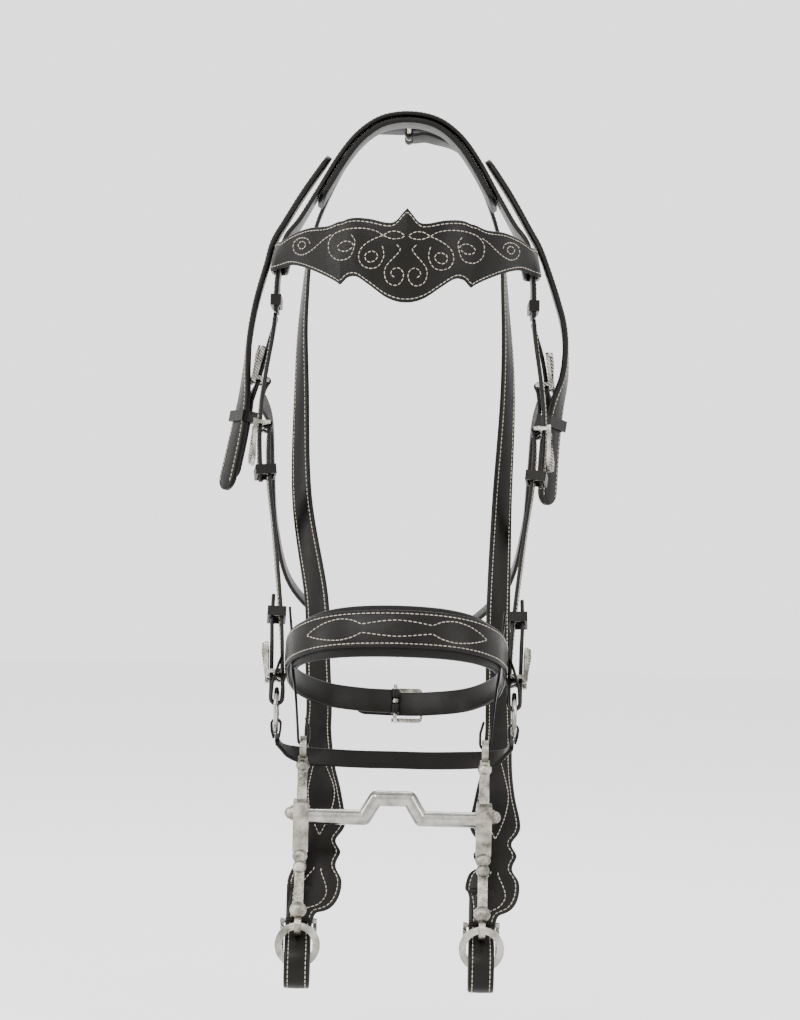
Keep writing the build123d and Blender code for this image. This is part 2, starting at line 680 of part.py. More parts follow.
# Keepers: leather loops that hold each billet's end down
crown_end = on_strap(crown_side, -149)
cheek_end = on_strap(cheek_billet, -291)
ring_end = on_strap(outward_billet, -403, up=True)
for side, strap in (("near", strap_near), ("off", strap_off)):
    same_on_both = [
        keeper(crown_end, CROWN_WIDTH + 0.8, -2.5, 2.5),
        keeper(cheek_end, CHEEK_WIDTH + 3.4, -10.6, 2.4, length=8),
        keeper(ring_end, CHEEK_WIDTH + 2.6, -9, 2.2, length=8),
    ]
    if side == "off":
        same_on_both = [loop.mirror(Plane.YZ) for loop in same_on_both]
    throat_loop_keeper = keeper(on_strap(strap, -243), CROWN_STRAP_WIDTH + 0.8, -7.3, 3)
    nodes["keepers_" + side] = Compound(children=[*same_on_both, throat_loop_keeper])

os.makedirs("parts", exist_ok=True)
for name, shape in nodes.items():
    export_step(shape, f"parts/{name}.step")
print(len(nodes), "nodes")
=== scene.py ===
"""A horse's bridle: stitched black leather straps, nickel buckles and a cast curb bit, on the CAD frame."""

from bisect import bisect_right
from math import cos, exp, pi, radians, sin, sqrt

import bpy
from mathutils import Matrix, Vector


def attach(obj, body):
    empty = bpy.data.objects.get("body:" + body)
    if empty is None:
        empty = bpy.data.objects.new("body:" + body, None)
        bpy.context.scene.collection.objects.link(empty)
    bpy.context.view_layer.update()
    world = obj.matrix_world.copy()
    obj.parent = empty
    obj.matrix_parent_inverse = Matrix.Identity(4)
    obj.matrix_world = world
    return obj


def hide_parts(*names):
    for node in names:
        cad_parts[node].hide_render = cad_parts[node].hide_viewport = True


MM = 0.001
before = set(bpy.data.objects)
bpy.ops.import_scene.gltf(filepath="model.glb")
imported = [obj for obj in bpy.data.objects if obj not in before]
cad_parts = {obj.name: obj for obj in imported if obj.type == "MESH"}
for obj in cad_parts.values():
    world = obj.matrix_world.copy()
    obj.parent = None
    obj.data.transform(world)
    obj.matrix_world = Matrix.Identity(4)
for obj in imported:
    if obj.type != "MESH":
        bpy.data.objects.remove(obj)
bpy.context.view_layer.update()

# Straps, in millimetres
CROWN_WIDTH = 38
CROWN_THICK = 4
CROWN_STRAP_WIDTH = 22
CROWN_STRAP_THICK = 5
BILLET_WIDTH = 15
BILLET_THICK = 3.4
CHEEK_WIDTH = 15
CHEEK_THICK = 3
THROAT_WIDTH = 15
THROAT_THICK = 3.4
BROWBAND_THICK = 3.2
LINING_THICK = 1.8
NOSE_PANEL_THICK = 3
NOSE_PADDING_THICK = 6
POLL_PADDING_THICK = 6
JAW_WIDTH = 20
JAW_THICK = 3.6
CHIN_WIDTH = 14
CHIN_THICK = 3.4
REIN_THICK = 3.2
REIN_WIDTH = 20
TAB_THICK = 1.8
TAB_HALF_WIDTH = 4.5
CHIN_LOOP_HALF_WIDTH = 6
BIT_STRAP_THICK = 2.0
BIT_STRAP_HALF_WIDTH = 3.9
NOSE_ROLL_THICK = 7.0
GAP = 0.3
BAR_DROP = 6.6
HOLDER_DROP = 7.6
SHANK_X = 71
NOSE_TILT = 20.5
NOSE_FRONT = Vector((0, -237, -409))

# Thread
STITCH_PITCH = 3.7
STITCH_LENGTH = 2.9
STITCH_WIDTH = 0.8
EDGE_MARGIN = 3.0
NARROW_MARGIN = 2.2
BROW_MARGIN = 2.8
REIN_MARGIN = 3.2


# --- Materials -------------------------------------------------------------------------------------------


def new_material(name):
    """A material with its nodes, its principled shader and a place for object coordinates."""
    made = bpy.data.materials.new(name)
    made.use_nodes = True
    nodes = made.node_tree.nodes
    shader = nodes["Principled BSDF"]
    coordinates = nodes.new("ShaderNodeTexCoord")
    return made, nodes, made.node_tree.links, shader, coordinates.outputs["Object"]


def noise(nodes, links, place, scale, detail=4.0, rough=0.55):
    """A noise texture's value."""
    texture = nodes.new("ShaderNodeTexNoise")
    texture.inputs["Scale"].default_value = scale
    texture.inputs["Detail"].default_value = detail
    texture.inputs["Roughness"].default_value = rough
    links.new(place, texture.inputs["Vector"])
    return texture.outputs["Fac"]


def ramp(nodes, links, value, low, high, start=0.0, end=1.0):
    """Two values or colours blended by another value."""
    blend = nodes.new("ShaderNodeValToRGB")
    first, last = blend.color_ramp.elements
    first.position, last.position = start, end
    first.color = low if isinstance(low, tuple) else (low, low, low, 1)
    last.color = high if isinstance(high, tuple) else (high, high, high, 1)
    links.new(value, blend.inputs["Fac"])
    return blend.outputs["Color"]


def bump(nodes, links, shader, layers):
    """Bumps laid on each other: pairs of height value and (strength, distance in metres)."""
    normal = None
    for height, (strength, distance) in layers:
        node = nodes.new("ShaderNodeBump")
        node.inputs["Strength"].default_value = strength
        node.inputs["Distance"].default_value = distance
        links.new(height, node.inputs["Height"])
        if normal:
            links.new(normal, node.inputs["Normal"])
        normal = node.outputs["Normal"]
    links.new(normal, shader.inputs["Normal"])


def leather(name, dark, light, rough_low, rough_high, grain=0.35, coat=0.01):
    """Dyed leather: uneven colour, fine pores and shallow creases, with a little finish on top."""
    made, nodes, links, shader, place = new_material(name)
    cloud = noise(nodes, links, place, 38, 6, 0.65)
    links.new(ramp(nodes, links, cloud, dark, light, 0.3, 0.75), shader.inputs["Base Color"])
    worn = noise(nodes, links, place, 90, 5, 0.6)
    links.new(ramp(nodes, links, worn, rough_low, rough_high, 0.25, 0.8), shader.inputs["Roughness"])
    cells = nodes.new("ShaderNodeTexVoronoi")
    cells.feature = "DISTANCE_TO_EDGE"
    cells.inputs["Scale"].default_value = 950
    links.new(place, cells.inputs["Vector"])
    pores = ramp(nodes, links, cells.outputs["Distance"], 0.0, 1.0, 0.0, 0.28)
    creases = noise(nodes, links, place, 260, 5, 0.7)
    bump(nodes, links, shader, [(pores, (grain, 0.00012)), (creases, (grain, 0.00035))])
    shader.inputs["Coat Weight"].default_value = coat
    shader.inputs["Coat Roughness"].default_value = 0.35
    shader.inputs["Specular IOR Level"].default_value = 0.13
    return made


def thread_material():
    """Waxed off-white thread, with a twist and a little soiling."""
    made, nodes, links, shader, place = new_material("thread")
    soil = noise(nodes, links, place, 120, 3)
    links.new(
        ramp(nodes, links, soil, (0.2, 0.18, 0.145, 1), (0.36, 0.33, 0.27, 1), 0.3, 0.6),
        shader.inputs["Base Color"],
    )
    twist = nodes.new("ShaderNodeTexWave")
    twist.bands_direction = "DIAGONAL"
    twist.inputs["Scale"].default_value = 700
    links.new(place, twist.inputs["Vector"])
    bump(nodes, links, shader, [(twist.outputs["Fac"], (0.4, 0.0002))])
    shader.inputs["Roughness"].default_value = 0.7
    return made


def metal(name, dark, light, rough_low, rough_high, cast=0.0, engraved=0.0):
    """Plated or cast metal, with tarnish, fine scratches and cast or engraved relief."""
    made, nodes, links, shader, place = new_material(name)
    tarnish = noise(nodes, links, place, 75, 6, 0.6)
    links.new(ramp(nodes, links, tarnish, dark, light, 0.32, 0.62), shader.inputs["Base Color"])
    wear = noise(nodes, links, place, 210, 5, 0.6)
    links.new(ramp(nodes, links, wear, rough_low, rough_high, 0.3, 0.7), shader.inputs["Roughness"])
    layers = [(noise(nodes, links, place, 600, 4), (0.12, 0.0001))]
    if cast:
        layers.append((noise(nodes, links, place, 190, 6, 0.75), (cast, 0.0012)))
    if engraved:
        rope = nodes.new("ShaderNodeTexWave")
        rope.bands_direction = "DIAGONAL"
        rope.inputs["Scale"].default_value = 190
        rope.inputs["Distortion"].default_value = 1.5
        links.new(place, rope.inputs["Vector"])
        layers.append((rope.outputs["Fac"], (engraved, 0.0005)))
    bump(nodes, links, shader, layers)
    shader.inputs["Metallic"].default_value = 1.0
    return made


LEATHER = leather("strap_leather", (0.0018, 0.0016, 0.0012, 1), (0.006, 0.005, 0.0034, 1), 0.28, 0.42)
SOFT = leather(
    "padding_leather", (0.002, 0.0018, 0.0015, 1), (0.005, 0.0043, 0.0034, 1), 0.36, 0.5, grain=0.5
)
FLESH = leather("lining_leather", (0.02, 0.016, 0.012, 1), (0.04, 0.033, 0.025, 1), 0.65, 0.85, coat=0.0)
THREAD = thread_material()
NICKEL = metal("nickel", (0.09, 0.085, 0.07, 1), (0.4, 0.38, 0.335, 1), 0.16, 0.3, engraved=0.35)
CAST = metal("bit_steel", (0.05, 0.045, 0.036, 1), (0.36, 0.335, 0.29, 1), 0.16, 0.36, cast=0.6)
PLAIN = metal("ring_nickel", (0.08, 0.075, 0.062, 1), (0.36, 0.345, 0.305, 1), 0.1, 0.24)
POLISHED = metal("mouth_steel", (0.16, 0.155, 0.14, 1), (0.36, 0.35, 0.32, 1), 0.14, 0.26)


# --- Straps ----------------------------------------------------------------------------------------------


def through(rows, steps=4):
    """A smooth curve through rows of numbers, with this many steps from each row to the next."""
    before = [2 * a - b for a, b in zip(rows[0], rows[1])]
    after = [2 * a - b for a, b in zip(rows[-1], rows[-2])]
    ends = [before, *rows, after]
    out = []
    for a, b, c, d in zip(ends, ends[1:], ends[2:], ends[3:]):
        for step in range(steps):
            t = step / steps
            row = []
            for p, q, r, s in zip(a, b, c, d):
                bend = (2 * p - 5 * q + 4 * r - s) * t**2 + (3 * q - p - 3 * r + s) * t**3
                row.append(0.5 * (2 * q + (r - p) * t + bend))
            out.append(row)
    out.append(list(rows[-1]))
    return out


def mirrored(rows):
    """The same strap on the other side of the head."""
    return [(-row[0], row[1], row[2], -row[3], *row[4:]) for row in rows]


class Strap:
    """A flat strap through rows of place and outer face, in millimetres. Its sides are high and low."""

    def __init__(self, rows, thick, half=None, lift=0.0, round_tips=(False, False)):
        self.thick = thick
        self.stations = []
        travelled = 0.0
        places = [Vector(row[:3]) for row in rows]
        for i, row in enumerate(rows):
            along = (places[min(i + 1, len(rows) - 1)] - places[max(i - 1, 0)]).normalized()
            face = Vector(row[3:6])
            face = (face - along * face.dot(along)).normalized()
            if i:
                travelled += (places[i] - places[i - 1]).length
            high, low = (row[6], row[7]) if half is None else (half, half)
            side = face.cross(along)
            self.stations.append([travelled, places[i] + face * lift, along, side, face, high, low])
        self.length = travelled
        for is_round, tip in zip(round_tips, (0.0, travelled)):
            if is_round:
                self._round(tip)

    def _round(self, tip):
        """Narrows the strap to a rounded tip."""
        reach = self.stations[0 if tip == 0 else -1][5]
        extra = [abs(tip - reach * (1 - cos(radians(turn)))) for turn in (0, 12, 25, 38, 52, 66, 80, 90)]
        known = {station[0] for station in self.stations}
        for place in extra:
            if place not in known and 0 < place < self.length:
                self.stations.append(self._between(place))
        self.stations.sort(key=lambda station: station[0])
        for station in self.stations:
            away = abs(station[0] - tip)
            if away < reach:
                narrow = max(0.16, sqrt(1 - ((reach - away) / reach) ** 2))
                station[5] *= narrow
                station[6] *= narrow

    def _between(self, place):
        """The station at a distance along the strap."""
        arcs = [station[0] for station in self.stations]
        i = min(max(bisect_right(arcs, place) - 1, 0), len(arcs) - 2)
        a, b = self.stations[i], self.stations[i + 1]
        t = (place - a[0]) / max(b[0] - a[0], 1e-6)
        mixed = [x + (y - x) * t for x, y in zip(a, b)]
        for k in (2, 3, 4):
            mixed[k] = mixed[k].normalized()
        return mixed

    def at(self, place, across, out=0.0, from_edge=0):
        """A point on the outer face, with the strap's directions. across counts from the middle, or inward
        from the high edge where from_edge is 1 and from the low edge where it is -1."""
        _, middle, along, side, face, high, low = self._between(place)
        if from_edge > 0:
            across = high - across
        elif from_edge < 0:
            across = across - low
        point = middle + side * across + face * (self.thick / 2 + out)
        return point, along, side, face


def make_object(name, points, faces, material, smooth=True):
    """A mesh object from points in millimetres."""
    mesh = bpy.data.meshes.new(name)
    mesh.from_pydata([point * MM for point in points], [], faces)
    mesh.materials.append(material)
    if smooth:
        mesh.polygons.foreach_set("use_smooth", [True] * len(mesh.polygons))
    mesh.update()
    made = bpy.data.objects.new(name, mesh)
    bpy.context.scene.collection.objects.link(made)
    return made


def profile(high, low, thick, grooves, crown):
    """A strap's closed section as (across, out) pairs: a crowned face with a groove under each stitch row,
    rounded edges and a flat back."""
    span = high + low
    edge = min(thick * 0.42, 1.6, span * 0.3)
    aways = [edge]
    for groove in grooves:
        aways += [groove + step for step in (-1.3, -0.6, 0.0, 0.6, 1.3)]
    aways = [min(away, span * 0.49) for away in aways]
    marks = [(high - away, away) for away in aways]
    marks.append(((high - low) / 2, span / 2))
    marks += [(away - low, away) for away in reversed(aways)]
    section = []
    for across, away in marks:
        dip = sum(0.32 * exp(-(((away - groove) / 0.75) ** 2)) for groove in grooves)
        rise = crown * (1 - (1 - 2 * away / span) ** 2)
        section.append((across, thick / 2 - crown + rise - dip))
    turns = (30, 60, 90, 120, 150)
    upper = thick / 2 - crown - edge
    lower = edge - thick / 2
    corner = []
    for turn in turns:
        centre = upper if turn <= 90 else lower
        corner.append((edge - edge * sin(radians(turn)), centre + edge * cos(radians(turn))))
    section += [(inward - low, out) for inward, out in corner]
    section += [(edge - low, -thick / 2), ((high - low) / 2, -thick / 2), (high - edge, -thick / 2)]
    section += [(high - inward, out) for inward, out in reversed(corner)]
    return section


def strap_object(name, strap, grooves=(EDGE_MARGIN,), crown=0.35, material=None):
    """The strap's mesh."""
    points = []
    faces = []
    for _, middle, _, side, face, high, low in strap.stations:
        section = profile(high, low, strap.thick, grooves, crown)
        points += [middle + side * across + face * out for across, out in section]
    count = len(section)
    rings = len(strap.stations)
    for ring in range(rings - 1):
        for k in range(count):
            a = ring * count + k
            b = ring * count + (k + 1) % count
            faces.append((a, b, b + count, a + count))
    faces.append(tuple(range(count))[::-1])
    faces.append(tuple((rings - 1) * count + k for k in range(count)))
    return make_object(name, points, faces, material or LEATHER)


def add_stitch(points, faces, place, along, side, face, length, width):
    """One raised stitch."""
    rings = ((-0.5, 0.35), (-0.36, 0.85), (0.0, 1.0), (0.36, 0.85), (0.5, 0.35))
    base = len(points)
    for reach, share in rings:
        for corner in range(6):
            turn = pi * corner / 3
            sink = -0.22 * width if abs(reach) > 0.4 else 0.12 * width
            points.append(
                place
                + along * (reach * length)
                + side * (cos(turn) * width * share / 2)
                + face * (sin(turn) * width * share / 2 + sink)
            )
    for ring in range(len(rings) - 1):
        for corner in range(6):
            a = base + ring * 6 + corner
            b = base + ring * 6 + (corner + 1) % 6
            faces.append((a, b, b + 6, a + 6))
    faces.append(tuple(base + corner for corner in range(6))[::-1])
    faces.append(tuple(base + 24 + corner for corner in range(6)))


class Stitching:
    """Stitches gathered into one object."""

    def __init__(self):
        self.points = []
        self.faces = []

    def run(self, line):
        """Stitches along a line of (point, face) pairs."""
        places = [point for point, _ in line]
        arcs = [0.0]
        for a, b in zip(places, places[1:]):
            arcs.append(arcs[-1] + (b - a).length)
        count = max(1, round(arcs[-1] / STITCH_PITCH))
        pitch = arcs[-1] / count
        for step in range(count):
            middle = (step + 0.5) * pitch
            i = min(max(bisect_right(arcs, middle) - 1, 0), len(arcs) - 2)
            t = (middle - arcs[i]) / max(arcs[i + 1] - arcs[i], 1e-6)
            place = places[i].lerp(places[i + 1], t)
            along = (places[i + 1] - places[i]).normalized()
            face = line[i][1].lerp(line[i + 1][1], t)
            face = (face - along * face.dot(along)).normalized()
            length = min(STITCH_LENGTH, pitch * 0.8)
            add_stitch(self.points, self.faces, place, along, along.cross(face), face, length, STITCH_WIDTH)

    def rows(self, strap, margin=EDGE_MARGIN, start=3.0, stop=3.0, out=-0.3):
        """A row along each edge of a strap."""
        for side in (1, -1):
            line = []
            steps = max(2, int((strap.length - start - stop) / 2))
            for step in range(steps + 1):
                place = start + (strap.length - start - stop) * step / steps
                point, _, _, face = strap.at(place, margin, out, side)
                line.append((point, face))
            self.run(line)

    def drawn(self, strap, outline, out=-0.1):
        """Stitches along a smooth line of (distance, across) pairs on a strap's face."""
        line = []
        for place, across in outline:
            point, _, _, face = strap.at(place, across, out)
            line.append((point, face))
        self.run(line)

    def make(self, name, body):
        made = make_object(name, self.points, self.faces, THREAD)
        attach(made, body)
        return made


def finish_strap(made, body, *nodes):
    """The strap moves with a body and stands for CAD nodes."""
    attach(made, body)
    if nodes:
        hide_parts(*nodes)


# --- Where the straps run --------------------------------------------------------------------------------


def place_on(rows, z, up=False):
    """A buckle's origin and directions on a strap at height z: along the strap, or up it, then across it,
    then out of its face."""
    nearest = min(range(len(rows)), key=lambda i: abs(rows[i][2] - z))
    ahead, behind = rows[min(nearest + 1, len(rows) - 1)], rows[max(nearest - 1, 0)]
    along = (Vector(ahead[:3]) - Vector(behind[:3])).normalized()
    face = Vector(rows[nearest][3:6])
    face = (face - along * face.dot(along)).normalized()
    if (along.z > 0) != up:
        along = -along
    return Vector(rows[nearest][:3]), along, face.cross(along), face


def station(place, x, z):
    """A strap row at a place given in a buckle's directions, facing as the buckle does."""
    origin, along, _, face = place
    return (*(origin + along * x + face * z), *face)


def arc_rows(centre, radius, start, stop, steps, place_point, face_sign):
    """Rows round an arc. place_point turns an angle's cosine and sine into a direction."""
    rows = []
    for step in range(steps + 1):
        turn = radians(start + (stop - start) * step / steps)
        out = place_point(cos(turn), sin(turn))
        rows.append((*(centre + out * radius), *(out * face_sign)))
    return rows


def upright(c, s):
    """A direction in the plane across the head."""
    return Vector((c, 0, s))


def level(c, s):
    """A direction in the level plane."""
    return Vector((c, s, 0))


def across_nose(x, depth):
    """A place on the noseband's level, this far behind the front of the nose."""
    back = Vector((0, cos(radians(NOSE_TILT)), -sin(radians(NOSE_TILT))))
    return NOSE_FRONT + Vector((x, 0, 0)) + back * depth


def plan_rows(plan):
    """Noseband rows from pairs of x and depth, facing outward."""
    places = [across_nose(x, depth) for x, depth in plan]
    down = Vector((0, -sin(radians(NOSE_TILT)), -cos(radians(NOSE_TILT))))
    rows = []
    for i, place in enumerate(places):
        along = (places[min(i + 1, len(places) - 1)] - places[max(i - 1, 0)]).normalized()
        rows.append((*place, *down.cross(along)))
    return rows


def narrowing(rows, centre, end):
    """The rows with a width that narrows from the centre to both ends."""
    out = []
    for i, row in enumerate(rows):
        away = abs(2 * i / (len(rows) - 1) - 1)
        half = (centre + (end - centre) * away**2) / 2
        out.append((*row, half, half))
    return out


crown_half = [
    (0, 0, 8.8, 0, 0, 1),
    (24, 0, 4.4, 0.33, 0, 0.94),
    (43, -2, -9.5, 0.68, 0, 0.73),
    (59, -5, -31, 0.82, 0, 0.57),
    (76, -12, -62, 0.89, 0, 0.45),
    (90, -19, -87, 0.92, 0, 0.38),
    (100, -25, -103, 0.98, 0, 0.2),
    (102.4, -28, -115, 0.98, 0, 0.2),
    (104.4, -30, -127, 0.98, 0, 0.15),
    (105.2, -33, -142, 1, 0, 0),
    (105.4, -34, -160, 1, 0, 0),
]
crown_rows = through(mirrored(crown_half)[:0:-1] + crown_half, 8)
crown_side = crown_rows[len(crown_rows) // 2 :]
strap_near = through(
    [
        (65.5, -5, -28, 0.82, 0, 0.57),
        (85, -12, -58, 0.89, 0, 0.45),
        (102.5, -20, -89, 0.9, 0, 0.43),
        (110.2, -24, -103, 0.9, 0, 0.43),
        (117, -28, -121, 0.92, 0, 0.38),
        (125, -32, -145, 0.97, 0, 0.22),
        (130.5, -34, -165, 0.99, -0.02, 0.05),
        (132.5, -36, -185, 1, -0.06, 0),
        (131.5, -38, -208, 0.98, -0.2, 0),
        (126, -40, -232, 0.88, -0.45, 0),
        (122, -43, -262, 0.8, -0.6, 0),
        (119.5, -48, -312, 0.77, -0.64, 0),
    ],
    8,
)
strap_off = through(
    [
        (-65.5, -5, -28, -0.82, 0, 0.57),
        (-85, -12, -58, -0.89, 0, 0.45),
        (-101, -20, -86, -0.9, 0, 0.43),
        (-109.8, -25, -103, -0.94, 0, 0.33),
        (-114.3, -28, -121, -0.96, 0, 0.27),
        (-120.5, -32, -145, -0.97, 0, 0.22),
        (-124.5, -34, -165, -0.99, -0.02, 0.15),
        (-127, -36, -185, -0.99, -0.04, 0.13),
        (-128.5, -38, -208, -0.97, -0.15, 0.15),
        (-130, -40, -232, -0.9, -0.35, 0.15),
        (-134.5, -43, -262, -0.82, -0.5, 0.15),
        (-143, -48, -306, -0.8, -0.55, 0.15),
    ],
    8,
)
billet_lift = -(CROWN_STRAP_THICK + BILLET_THICK) / 2 - 0.8


def throat_rows(strap, upper):
    """A throat billet's rows: its own down to the buckle, and the crown strap's moved inward below it."""
    rows = through(upper)
    for i, row in enumerate(strap):
        if -300 < row[2] < -228 and i % 2 == 0:
            ahead, behind = strap[min(i + 1, len(strap) - 1)], strap[i - 1]
            along = (Vector(ahead[:3]) - Vector(behind[:3])).normalized()
            face = Vector(row[3:6])
            face = (face - along * face.dot(along)).normalized()
            rows.append((*(Vector(row[:3]) + face * billet_lift), *face))
    return rows


throat_near = throat_rows(
    strap_near,
    [
        (105.6, -25.5, -163.5, 1, 0, 0),
        (109.5, -27, -176, 0.98, -0.1, 0.1),
        (113.6, -30, -190, 0.98, -0.12, 0.08),
        (116.5, -33, -205, 0.98, -0.12, 0.08),
        (118.4, -36, -219, 0.98, -0.14, 0.06),
    ],
)
throat_off = throat_rows(
    strap_off,
    [
        (-105.6, -25.5, -163.5, -1, 0, 0),
        (-109, -27, -176, -0.98, -0.1, 0.15),
        (-112.6, -30, -190, -0.97, -0.12, 0.2),
        (-116.2, -33, -205, -0.97, -0.12, 0.2),
        (-119.8, -36, -219, -0.97, -0.14, 0.2),
    ],
)
cheek_billet = through(
    [
        (105.6, -43.5, -163.5, 1, 0, 0),
        (108, -52, -185, 0.99, -0.05, 0.1),
        (112, -60, -212, 0.99, -0.08, 0.1),
        (114.6, -68, -236, 0.99, -0.1, 0.03),
        (115, -76, -260, 0.99, -0.1, -0.02),
        (114, -83, -283, 0.99, -0.12, -0.05),
        (112.4, -87, -299, 0.98, -0.14, -0.1),
    ],
    8,
)
cheek_place = place_on(cheek_billet, -253)
cheek_rows = through(
    [
        station(cheek_place, 2.8, -HOLDER_DROP),
        station(cheek_place, 24, -HOLDER_DROP),
        (105.4, -89.5, -303, 0.98, -0.15, -0.1),
        (101, -104, -332, 0.97, -0.15, -0.15),
        (96.6, -118, -366, 0.98, -0.15, -0.1),
        (92.5, -132, -400, 0.99, -0.1, -0.05),
        (90.4, -141, -424, 1, -0.05, 0),
        (89, -152, -450, 1, 0, 0),
        (88.2, -156, -462, 1, 0, 0),
    ],
    8,
)
turn_radius = 4.6
turn_centre = Vector((88.2 + turn_radius, -158, -468))
turn = arc_rows(turn_centre, turn_radius, 180, 360, 12, upright, -1)
ring_billet = [
    (turn_centre.x + turn_radius, -156, -462, 1, 0, 0),
    (97.6, -152, -451, 1, 0, 0),
    (97.8, -147, -439, 1, 0, 0),
    (98.1, -142, -426, 1, 0, 0),
    (98.8, -135, -409, 1, -0.05, 0),
    (98.4, -127, -388, 0.99, -0.1, -0.1),
]
outward_billet = through(ring_billet, 8)
ring_place = place_on(outward_billet, -451, up=True)
turned_back = [(*row[:3], -row[3], -row[4], -row[5]) for row in outward_billet]
near_place = place_on(throat_near, -216, up=True)
off_place = place_on(throat_off, -216, up=True)
throat_under = [
    (108.5, -12, -250, 0.99, 0, 0),
    (107, 12, -288, 0.99, 0.05, -0.1),
    (104, 36, -335, 0.97, 0.1, -0.2),
    (92, 62, -382, 0.85, 0.25, -0.45),
    (60, 90, -416, 0.45, 0.4, -0.8),
    (30, 104, -429, 0.2, 0.45, -0.87),
]
throat_loop = through(
    [
        station(near_place, -2.8, -HOLDER_DROP),
        station(near_place, -14, -HOLDER_DROP),
        *throat_under,
        (0, 108, -433, 0, 0.47, -0.88),
        *mirrored(throat_under)[::-1],
        station(off_place, -14, -HOLDER_DROP),
        station(off_place, -2.8, -HOLDER_DROP),
    ],
    8,
)
chin_turn = arc_rows(Vector((92.7, -161, -488.3)), 3.7, 0, 180, 12, upright, 1)
chin_half = through(
    [
        (92, -157.5, -500.5, 1, 0, -0.1),
        (89, -153, -506, 0.85, 0, -0.5),
        (84, -148, -510.5, 0.7, 0.3, -0.6),
        (72, -140, -514, 0.3, 0.85, -0.4),
        (50, -131, -516, 0.2, 0.97, -0.1),
        (25, -127, -517, 0.05, 1, 0),
        (0, -126, -517, 0, 1, 0),
    ],
    8,
)
chin_rows = chin_half + mirrored(chin_half)[-2::-1]
chin_loop = [
    (94.4, -159.5, -498.5, 1, 0, 0),
    (96, -160.5, -493, 1, 0, 0),
    *chin_turn,
    (89.3, -160.5, -493, -1, 0, 0),
    (90, -159.5, -497.5, -1, 0, 0),
]
tab_turn = arc_rows(Vector((92.7, -171.5, -467.8)), 3.8, 360, 180, 12, upright, -1)
tab_rows = [
    (88.6, -166.5, -434, -1, 0, 0),
    (91.5, -167.5, -441, -1, 0, 0),
    (95.8, -170, -456, -1, 0, 0),
    *tab_turn,
    (88, -169, -456, 1, 0, 0),
    (85.8, -167, -449, 1, 0, 0),
]
jaw_start = [(85.2, 78.6), (85, 96)]
jaw_inner = [*jaw_start, (83.8, 116), (76, 145), (55, 172), (25, 184)]
jaw_outer = [*jaw_start, (84, 116), (79, 147), (58, 178), (27, 191.5), (0, 194), (-34, 191)]
jaw_off = [(-x, depth) for x, depth in jaw_inner]
back = Vector((0, cos(radians(NOSE_TILT)), -sin(radians(NOSE_TILT))))
jaw_place = (across_nose(0, 194), Vector((1, 0, 0)), back.cross(Vector((1, 0, 0))), back)
eye_y, eye_z = -163, -506
bit_turn = arc_rows(Vector((SHANK_X, eye_y, eye_z + 6)), 4.1, 360, 180, 12, upright, 1)
bit_rows = [
    *through(
        [
            (85.2, -128, -399, 1, 0, 0.05),
            (82.4, -140, -424, 1, 0, 0.1),
            (81, -150, -444, 1, 0, 0.15),
            (78, -157, -466, 0.97, 0, 0.2),
            (75.8, -162, -490, 0.99, 0, 0.05),
        ]
    ),
    *bit_turn,
    (SHANK_X - 4.1, eye_y, -492, -1, 0, 0),
    (SHANK_X - 1.5, eye_y + 1, -483, -0.97, 0, -0.2),
]
join_out = Vector((0, 0.25, 0.97)).normalized()
join_place = (Vector((0, 96, 8)), Vector((-1, 0, 0)), join_out.cross(Vector((-1, 0, 0))), join_out)


def rein_rows(ring_x, columns, top):
    """The rein from behind the crown down to its ring, then round through the ring and back up behind."""
    leaf_x, mid_x, high_x, top_x = columns
    side = 1 if ring_x > 0 else -1
    down = [
        (side * 50, 92, -16, side * 0.5, 0, 0.86, 10),
        (side * 78, 82, -80, side * 0.9, 0, 0.4, 10),
        (side * 86, 66, -150, side * 0.95, -0.3, 0.1, 10),
        (top_x + side * 3, 55, -220, side * 0.8, -0.6, 0, 10),
        (top_x, 42, -311, side * 0.6, -0.8, 0, 10.5),
        (high_x, 8, -393, side * 0.3, -0.9, 0.2, 10.5),
        ((high_x + mid_x) / 2, -20, -440, side * 0.15, -0.9, 0.4, 10.5),
        (mid_x, -52, -480, side * 0.05, -0.8, 0.6, 10.5),
        (mid_x, -72, -500, 0, -0.75, 0.66, 11),
        ((mid_x + leaf_x) / 2, -98, -525, 0, -0.7, 0.7, 12.5),
        (leaf_x, -120, -545, 0, -0.75, 0.66, 16),
        (leaf_x, -140, -567, 0, -0.8, 0.6, 20),
        (leaf_x, -149, -579, 0, -0.85, 0.5, 13),
        (leaf_x, -155, -588, 0, -0.87, 0.5, 17),
        (leaf_x, -160, -597, 0, -0.9, 0.45, 13.5),
        (leaf_x * 0.9 + ring_x * 0.1, -164, -605, 0, -0.9, 0.42, 20),
        (leaf_x * 0.7 + ring_x * 0.3, -170.5, -618, 0, -0.9, 0.4, 20.5),
        (leaf_x * 0.2 + ring_x * 0.8, -177, -630, 0, -0.9, 0.45, 11.5),
    ]
    loop = [
        (-186.5, -646, -0.8, 0.6),
        (-194.5, -655.5, -0.7, 0.7),
        (-201.5, -664, -0.9, 0.4),
        (-203.5, -675, -1, 0),
        (-200.5, -684, -0.8, -0.6),
        (-193, -688.5, 0, -1),
        (-185.5, -684, 0.8, -0.6),
        (-181.5, -675, 1, 0.2),
        (-179.2, -664, 1, 0.2),
        (-176.5, -650, 1, 0.2),
        (-173.6, -635, 1, 0.2),
        (-169.4, -612, 1, 0.2),
    ]
    lower = [(ring_x, y, z, 0, face_y, face_z, 10) for y, z, face_y, face_z in loop]
    return [(*row, row[6]) for row in through([*top, *down, *lower], 8)]


